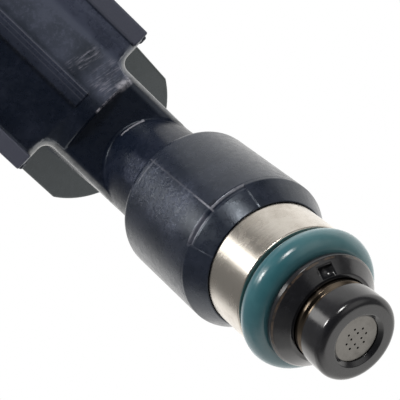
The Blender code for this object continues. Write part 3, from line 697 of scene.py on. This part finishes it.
def housing(p):
    """Distance to the moulded body at points p (N, 3)."""
    x, y, z = p[:, 0], p[:, 1], p[:, 2]
    r = np.hypot(x, y)
    barrel = polygon(r, z, [(-1, 21.5), (7.5, 21.5), (7.5, 12.0), (-1, 12.0)]) - 0.8
    lower = polygon(r, z, [(-1, 18.0), (8.05, 18.0), (8.05, 9.85), (7.85, 9.65), (-1, 9.65)]) - 0.25
    stem = polygon(r, z, [(-1, 47.0), (5.9, 47.0), (5.9, 20.0), (-1, 20.0)]) - 0.1
    collar = polygon(r, z, [(-1, 52.9), (6.3, 52.9), (6.3, 48.8), (-1, 48.8)]) - 0.3
    d = blend(np.minimum(barrel, lower), stem, 0.5)
    d = blend(d, collar, 0.5)

    yc, zc = y - ROOT[1], z - ROOT[2]
    v = yc * math.cos(TILT) - zc * math.sin(TILT)
    w = yc * math.sin(TILT) + zc * math.cos(TILT)
    # the web widens a little away from the lower face, so its sides show
    draft = 0.001 + 0.0045 * np.clip((v + 7.0) / 2.5, 0, 1)
    web = raise_up(polygon(x / (1 + draft * w), v, WEB_LINE), w, WEB_FACE_W, SHROUD_H, 1.2)
    # the web ends inside the stem, on an upright plane
    web = np.maximum(web, y + 1.5)
    d = blend(d, web, 0.3)

    # crowned belly: a shallow arch below the plug, cut off in a bowed edge
    half, crown, lowest = 5.3, 1.3, -0.95
    big = (half * half + crown * crown) / (2 * crown)
    belly = np.maximum(np.hypot(x, w - (big + lowest)) - big, w - 1.5)
    belly = np.maximum(belly, np.abs(x) - 5.25 - 3.0 * np.clip(-6.0 - v, 0, 1.2))
    ends = np.maximum(v + 3.9 - BOW * x * x, MOUTH_V + 0.6 - v)
    d = blend(d, rounded(belly, ends, 0.3), 0.2 + 1.3 * np.clip((-4.6 - v) / 1.5, 0, 1))
    d = np.minimum(d, box3(x, v, w, (-1.05, MOUTH_V + 0.6, -1.03), (1.05, -6.0, 0.5), 0.06))
    strip = box3(x, v, w, (7.0, MOUTH_V + 0.6, 0.0), (8.6, -6.4, 1.2), 0.3)
    d = blend(d, strip, 1.6)

    # rails and ribs on both sides of the plug, and the wedge that its mate locks to
    ax = np.abs(x)
    rail = box3(ax, v, w, (8.3, RAIL_V, -0.45), (RAIL_OUT, SHOULDER_V - 0.15, 1.5), 0.22)
    rib = box3(ax, v, w, (9.2, MOUTH_V + 4.0, 2.4), (RAIL_OUT - 0.1, SHOULDER_V + 0.3, 3.8), 0.25)
    lock = polygon(v, w, [(-25.6, 12.5), (-20.5, 12.5), (-20.5, 14.5), (-21.6, 14.5)])
    lock = raise_up(lock, x, -3.2, 3.2, 0.15)
    for extra in (rail, rib, lock):
        d = blend(d, extra, 0.2)
    d = blend(d, raise_up(polygon(x, y, FLANGE_LINE), z, FLANGE_LOW, FLANGE_HIGH, 0.25), 0.4)

    # the socket in the plug, and the bore with its three widths
    socket = box2(x, w - SHROUD_H / 2, 7.5 - 1.6, 4.5 - 1.6) - 1.6
    socket = np.maximum(socket, np.abs(v - (MOUTH_V + 5.75)) - 7.75)
    d = -blend(-d, socket, 0.3)
    bore = np.maximum(r - 6.86, z - 19.9)
    bore = np.minimum(bore, np.maximum(r - 3.6, z - 47.0))
    bore = np.minimum(bore, np.maximum(r - 4.25, 46.9 - z))
    return np.maximum(d, -bore)


def surface_net(field, low, high, cell):
    """Quads on the field's zero surface, with each corner moved onto it and its exact normal."""
    block = 8
    size = np.ceil((np.array(high) - low) / (cell * block)).astype(int) * block + 1
    low = np.array(low, np.float64)
    values = np.full(size, 1.0, np.float32)
    blocks = (size - 1) // block
    index = np.stack(np.meshgrid(*[np.arange(n) for n in blocks], indexing="ij"), -1).reshape(-1, 3)
    centre = low + (index + 0.5) * block * cell
    far = field(centre.astype(np.float32))
    reach = block * cell * 0.9 + 0.6
    local = np.stack(np.meshgrid(*[np.arange(block + 1)] * 3, indexing="ij"), -1).reshape(-1, 3)
    for (i, j, k), f in zip(index, far):
        if f < -reach:
            values[tuple(slice(n * block, (n + 1) * block + 1) for n in (i, j, k))] = -1.0
    near = index[np.abs(far) <= reach]
    for start in range(0, len(near), 400):
        chunk = near[start:start + 400]
        spots = (chunk[:, None, :] * block + local[None]).reshape(-1, 3)
        values[spots[:, 0], spots[:, 1], spots[:, 2]] = field((low + spots * cell).astype(np.float32))
    inside = values < 0
    nx, ny, nz = np.array(inside.shape) - 1
    corners = [inside[i:i + nx, j:j + ny, k:k + nz] for i in (0, 1) for j in (0, 1) for k in (0, 1)]
    total = sum(c.astype(np.int8) for c in corners)
    cells = (total > 0) & (total < 8)
    number = np.full(cells.shape, -1, np.int64)
    where = np.argwhere(cells)
    number[cells] = np.arange(len(where))
    points = low + (where + 0.5) * cell
    start = points.copy()

    def slope(at):
        step = 0.02
        out = np.empty(at.shape, np.float64)
        for k in range(3):
            shift = np.zeros(3)
            shift[k] = step
            out[:, k] = field((at + shift).astype(np.float64)) - field((at - shift).astype(np.float64))
        return out / np.maximum(np.linalg.norm(out, axis=1, keepdims=True), 1e-9)

    for _ in range(3):
        points -= field(points)[:, None] * slope(points)
        points = start + np.clip(points - start, -0.75 * cell, 0.75 * cell)
    normals = slope(points)
    quads = []
    for axis in range(3):
        ahead = [slice(None)] * 3
        behind = [slice(None)] * 3
        ahead[axis], behind[axis] = slice(1, None), slice(None, -1)
        a, b = inside[tuple(behind)], inside[tuple(ahead)]
        for flip, mask in ((False, a & ~b), (True, ~a & b)):
            spots = np.argwhere(mask)
            u, v = (axis + 1) % 3, (axis + 2) % 3
            spots = spots[(spots[:, u] > 0) & (spots[:, v] > 0)]
            ring = []
            for du, dv in ((-1, -1), (0, -1), (0, 0), (-1, 0)):
                c = spots.copy()
                c[:, u] += du
                c[:, v] += dv
                ring.append(number[c[:, 0], c[:, 1], c[:, 2]])
            ring = np.stack(ring, 1)
            quads.append(ring[:, ::-1] if flip else ring)
    return points, np.concatenate(quads), normals


def housing_mesh():
    cell = CELL
    points, quads, normals = surface_net(housing, (-12.2, -32.6, 8.4), (12.2, 12.2, 61.0), cell)
    mesh = bpy.data.meshes.new("overmould_body")
    mesh.vertices.add(len(points))
    mesh.vertices.foreach_set("co", (points * MM).astype(np.float32).ravel())
    mesh.loops.add(quads.size)
    mesh.loops.foreach_set("vertex_index", quads.astype(np.int32).ravel())
    mesh.polygons.add(len(quads))
    mesh.polygons.foreach_set("loop_start", np.arange(0, quads.size, 4, dtype=np.int32))
    mesh.update(calc_edges=True)
    mesh.validate()
    mesh.polygons.foreach_set("use_smooth", [True] * len(mesh.polygons))
    mesh.normals_split_custom_set_from_vertices(normals.astype(np.float32))
    return mesh


# ---------------------------------------------------------------- turned pieces
SEAL_R, SEAL_WIRE, BEAD = 5.75, 1.52, 0.012


def ring_loop(z, count=56):
    """Section of a sealing ring, with the faint moulding line at its outer and inner middle."""
    loop = []
    for i in range(count):
        a = math.pi / 2 - 2 * math.pi * i / count
        bead = BEAD * (math.exp(-((a / 0.05) ** 2)) + math.exp(-(((a + math.pi) / 0.05) ** 2)))
        loop.append((SEAL_R + (SEAL_WIRE + bead) * math.cos(a), z + (SEAL_WIRE + bead) * math.sin(a)))
    return loop


def skirt_mesh():
    """The cone below the barrel. In front, 28 degrees to each side, the mould's insert left it set back."""
    shared = [(6.86, 6.98, 0.04), (6.86, 9.95, 0)]
    full = rounded_profile([(8.29, 9.95, 0), (8.29, 9.4, 0.4), (6.98, 6.98, 0.1)] + shared, 6)
    inset = rounded_profile([(8.0, 9.95, 0), (8.0, 9.15, 0.4), (6.97, 6.98, 0.1)] + shared, 6)
    cut_edges = {-118.4, -117.9, -62.1, -61.6}
    degrees = sorted(set(np.round(np.arange(0, 360, 2.25) - 180, 3)) | cut_edges)
    points = []
    for degree in degrees:
        turn = math.radians(degree)
        loop = inset if -118 < degree < -62 else full
        points += [(r * math.cos(turn), r * math.sin(turn), z) for r, z in loop]
    return mesh_from("overmould_skirt", points, ring_faces(len(degrees), len(full)), 40)


def sink_pockets(piece):
    """Two small square moulding pockets, opposite each other in the retainer's cone."""
    for azimuth in (31.5, 211.5):
        turn = math.radians(azimuth)
        across = Vector((math.cos(turn), math.sin(turn), 0))
        outward = Vector((math.sin(turn), -math.cos(turn), -1)).normalized()
        slope = outward.cross(across)
        middle = Vector((5.0 * math.sin(turn), -5.0 * math.cos(turn), -3.24))
        corners = [middle + across * a * 0.73 + slope * b * 0.56 + outward * c * 0.4
                   for a in (-1, 1) for b in (-1, 1) for c in (-1, 1)]
        quads = [(0, 1, 3, 2), (4, 6, 7, 5), (0, 4, 5, 1), (2, 3, 7, 6), (0, 2, 6, 4), (1, 5, 7, 3)]
        mesh = mesh_from("pocket_cutter", corners, quads)
        cutter = bpy.data.objects.new("pocket_cutter", mesh)
        shape = bmesh.new()
        shape.from_mesh(mesh)
        bmesh.ops.recalc_face_normals(shape, faces=shape.faces)
        shape.to_mesh(mesh)
        shape.free()
        bpy.context.scene.collection.objects.link(cutter)
        cut = piece.modifiers.new("pocket", "BOOLEAN")
        cut.solver = "EXACT"
        cut.object = cutter
        bpy.context.view_layer.update()
        cut_piece = piece.evaluated_get(bpy.context.evaluated_depsgraph_get())
        made = bpy.data.meshes.new_from_object(cut_piece)
        piece.modifiers.clear()
        piece.data = made
        bpy.data.objects.remove(cutter)


def spring_mesh():
    """Round wire wound as a compression spring whose end turns lie flat, in the space of the CAD's."""
    low, high = (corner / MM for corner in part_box("return_spring"))
    wire, turns, closed = 0.21, 7.5, 1.0
    middle_r = high.x - wire
    bottom, top, step = low.z + wire, high.z - wire, 2.3 * wire
    pitch = (top - bottom - 2 * closed * step) / (turns - 2 * closed)
    steps, sides = int(turns * 40), 12
    centres = []
    for i in range(steps + 1):
        turn = turns * i / steps
        ends = min(turn, closed) + max(0.0, turn - (turns - closed))
        angle = 2 * math.pi * turn
        rise = ends * step + min(max(turn - closed, 0.0), turns - 2 * closed) * pitch
        centres.append(Vector((middle_r * math.cos(angle), middle_r * math.sin(angle), bottom + rise)))
    points = []
    for i, centre in enumerate(centres):
        ahead = (centres[min(i + 1, steps)] - centres[max(i - 1, 0)]).normalized()
        out = Vector((centre.x, centre.y, 0)).normalized()
        out = (out - ahead * out.dot(ahead)).normalized()
        across = ahead.cross(out)
        for k in range(sides):
            a = 2 * math.pi * k / sides
            points.append(tuple(centre + (out * math.cos(a) + across * math.sin(a)) * wire))
    faces = ring_faces(steps + 1, sides, closed=False)
    faces += [tuple(reversed(range(sides))), tuple(steps * sides + k for k in range(sides))]
    return mesh_from("return_spring_wire", points, faces, 60), bottom, top


def add_spring(mat):
    """The return spring, wound in the space of the CAD's and shown in its place."""
    mesh, bottom, top = spring_mesh()
    mesh.materials.append(mat)
    spring = bpy.data.objects.new("return_spring_wire", mesh)
    bpy.context.scene.collection.objects.link(spring)
    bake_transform(spring)
    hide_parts("return_spring")


def build():
    black = gloss_plastic("cap_black")
    steel = worked_metal("can_steel", (0.6, 0.565, 0.515), (0.45, 0.41, 0.36), (0.2, 0.32), lines=0.011)
    # the neck's steel is dark brown, partly its own tint and partly painted shade from the cap and retainer
    # round it
    neck = worked_metal("neck_steel", (0.14, 0.112, 0.085), (0.05, 0.04, 0.03), (0.14, 0.24))
    plate = worked_metal("plate_steel", (0.145, 0.139, 0.13), (0.12, 0.114, 0.105), (0.3, 0.42), blotch=0.5)
    bright = worked_metal("tube_steel", (0.6, 0.58, 0.55), (0.45, 0.43, 0.4), (0.18, 0.3))
    dark_steel = worked_metal("magnet_steel", (0.3, 0.3, 0.3), (0.2, 0.19, 0.18), (0.3, 0.45))
    brass = worked_metal("tinned_brass", (0.72, 0.68, 0.56), (0.55, 0.5, 0.36), (0.18, 0.32))
    copper = worked_metal("copper_wire", (0.58, 0.2, 0.075), (0.34, 0.09, 0.03), (0.2, 0.36), lines=0.02)
    gauze = woven_metal("gauze_steel")
    amber = moulded_plastic("bobbin_amber", (0.3, 0.25, 0.16), (0.45, 0.4, 0.29), (0.4, 0.55))
    tan = moulded_plastic("filter_tan", (0.2, 0.15, 0.06), (0.34, 0.27, 0.13), (0.38, 0.5))
    ring_black = moulded_plastic("ring_black", (0.01, 0.0105, 0.012), (0.035, 0.036, 0.04), (0.3, 0.42))
    teal = seal_rubber("seal_teal")
    navy = body_plastic("body_navy")
    for mat, nodes in (
        (plate, ("orifice_plate",)),
        (bright, ("valve_seat", "valve_ball", "needle_tube", "nonmagnetic_sleeve")),
        (dark_steel, ("armature", "yoke_ring", "spring_adjuster")),
        (brass, ("terminal_right", "terminal_left")),
        (copper, ("coil_winding",)),
        (gauze, ("filter_gauze",)),
        (amber, ("coil_bobbin",)),
        (tan, ("filter_frame",)),
    ):
        for node in nodes:
            dress(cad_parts[node], mat)
    add_spring(bright)

    turned("nozzle_cap_skin", black, "nozzle_cap", 10,
           (4.35, -4.95, 0.12), (4.35, -7.85, 0.95), (2.72, -7.85, 0.2), (2.26, -7.44, 0.05),
           (3.6, -7.44, 0), (3.6, -4.95, 0))
    retainer = turned("lower_retainer_skin", black, "lower_retainer", 6,
                      (5.6, -1.65, 0.1), (5.88, -1.9, 0.1), (5.88, -2.35, 0.12), (5.66, -2.62, 0.3),
                      (4.6, -3.66, 0.2), (4.22, -3.72, 0.05), (4.22, -1.65, 0))
    sink_pockets(retainer)
    add_piece(lathe("lower_seal", ring_loop(0.0)), teal, "lower_o_ring")
    turned("steel_can_skin", steel, "steel_can", 8,
           (6.8, 19.6, 0), (6.8, 1.65, 0.18), (4.23, 1.65, 0),
           (4.23, 2.25, 0), (6.25, 2.25, 0), (6.25, 19.6, 0))
    turned("valve_body_skin", neck, "valve_body", 5,
           (4.15, 11.5, 0), (4.15, -4.2, 0.06), (3.9, -4.45, 0.06), (3.9, -4.89, 0), (3.55, -4.89, 0),
           (3.55, -6.85, 0), (3.4, -7.05, 0), (3.0, -7.05, 0), (3.0, 11.5, 0))
    add_piece(housing_mesh(), navy, "overmould_housing")
    add_piece(skirt_mesh(), navy, "overmould_housing", replaces=False)
    turned("upper_backup_skin", ring_black, "upper_backup_ring", 5,
           (6.6, 55.0, 0.15), (6.6, 53.5, 0.25), (4.23, 53.5, 0), (4.23, 55.0, 0))
    turned("upper_retainer_skin", ring_black, "upper_retainer", 5,
           (6.3, 59.84, 0.35), (6.3, 58.25, 0.12), (4.23, 58.25, 0), (4.23, 59.84, 0))
    turned("inlet_tube_skin", bright, "inlet_tube", 6,
           (4.9, 61.0, 0), (6.1, 61.0, 0.3), (6.1, 59.9, 0.3), (4.15, 59.9, 0), (4.15, 47.6, 0),
           (3.5, 47.0, 0), (3.5, 19.5, 0), (4.15, 19.5, 0), (4.15, 14.56, 0), (2.96, 14.56, 0),
           (2.96, 12.87, 0), (2.84, 12.75, 0), (1.8, 12.75, 0), (1.8, 27.0, 0), (2.85, 28.6, 0),
           (2.85, 60.1, 0.2), (3.6, 60.85, 0.3))
    add_piece(lathe("upper_seal", ring_loop(56.6)), teal, "upper_o_ring")


bpy.context.scene.view_settings.view_transform = "Standard"
make_camera()
make_world()
make_floor()
build()
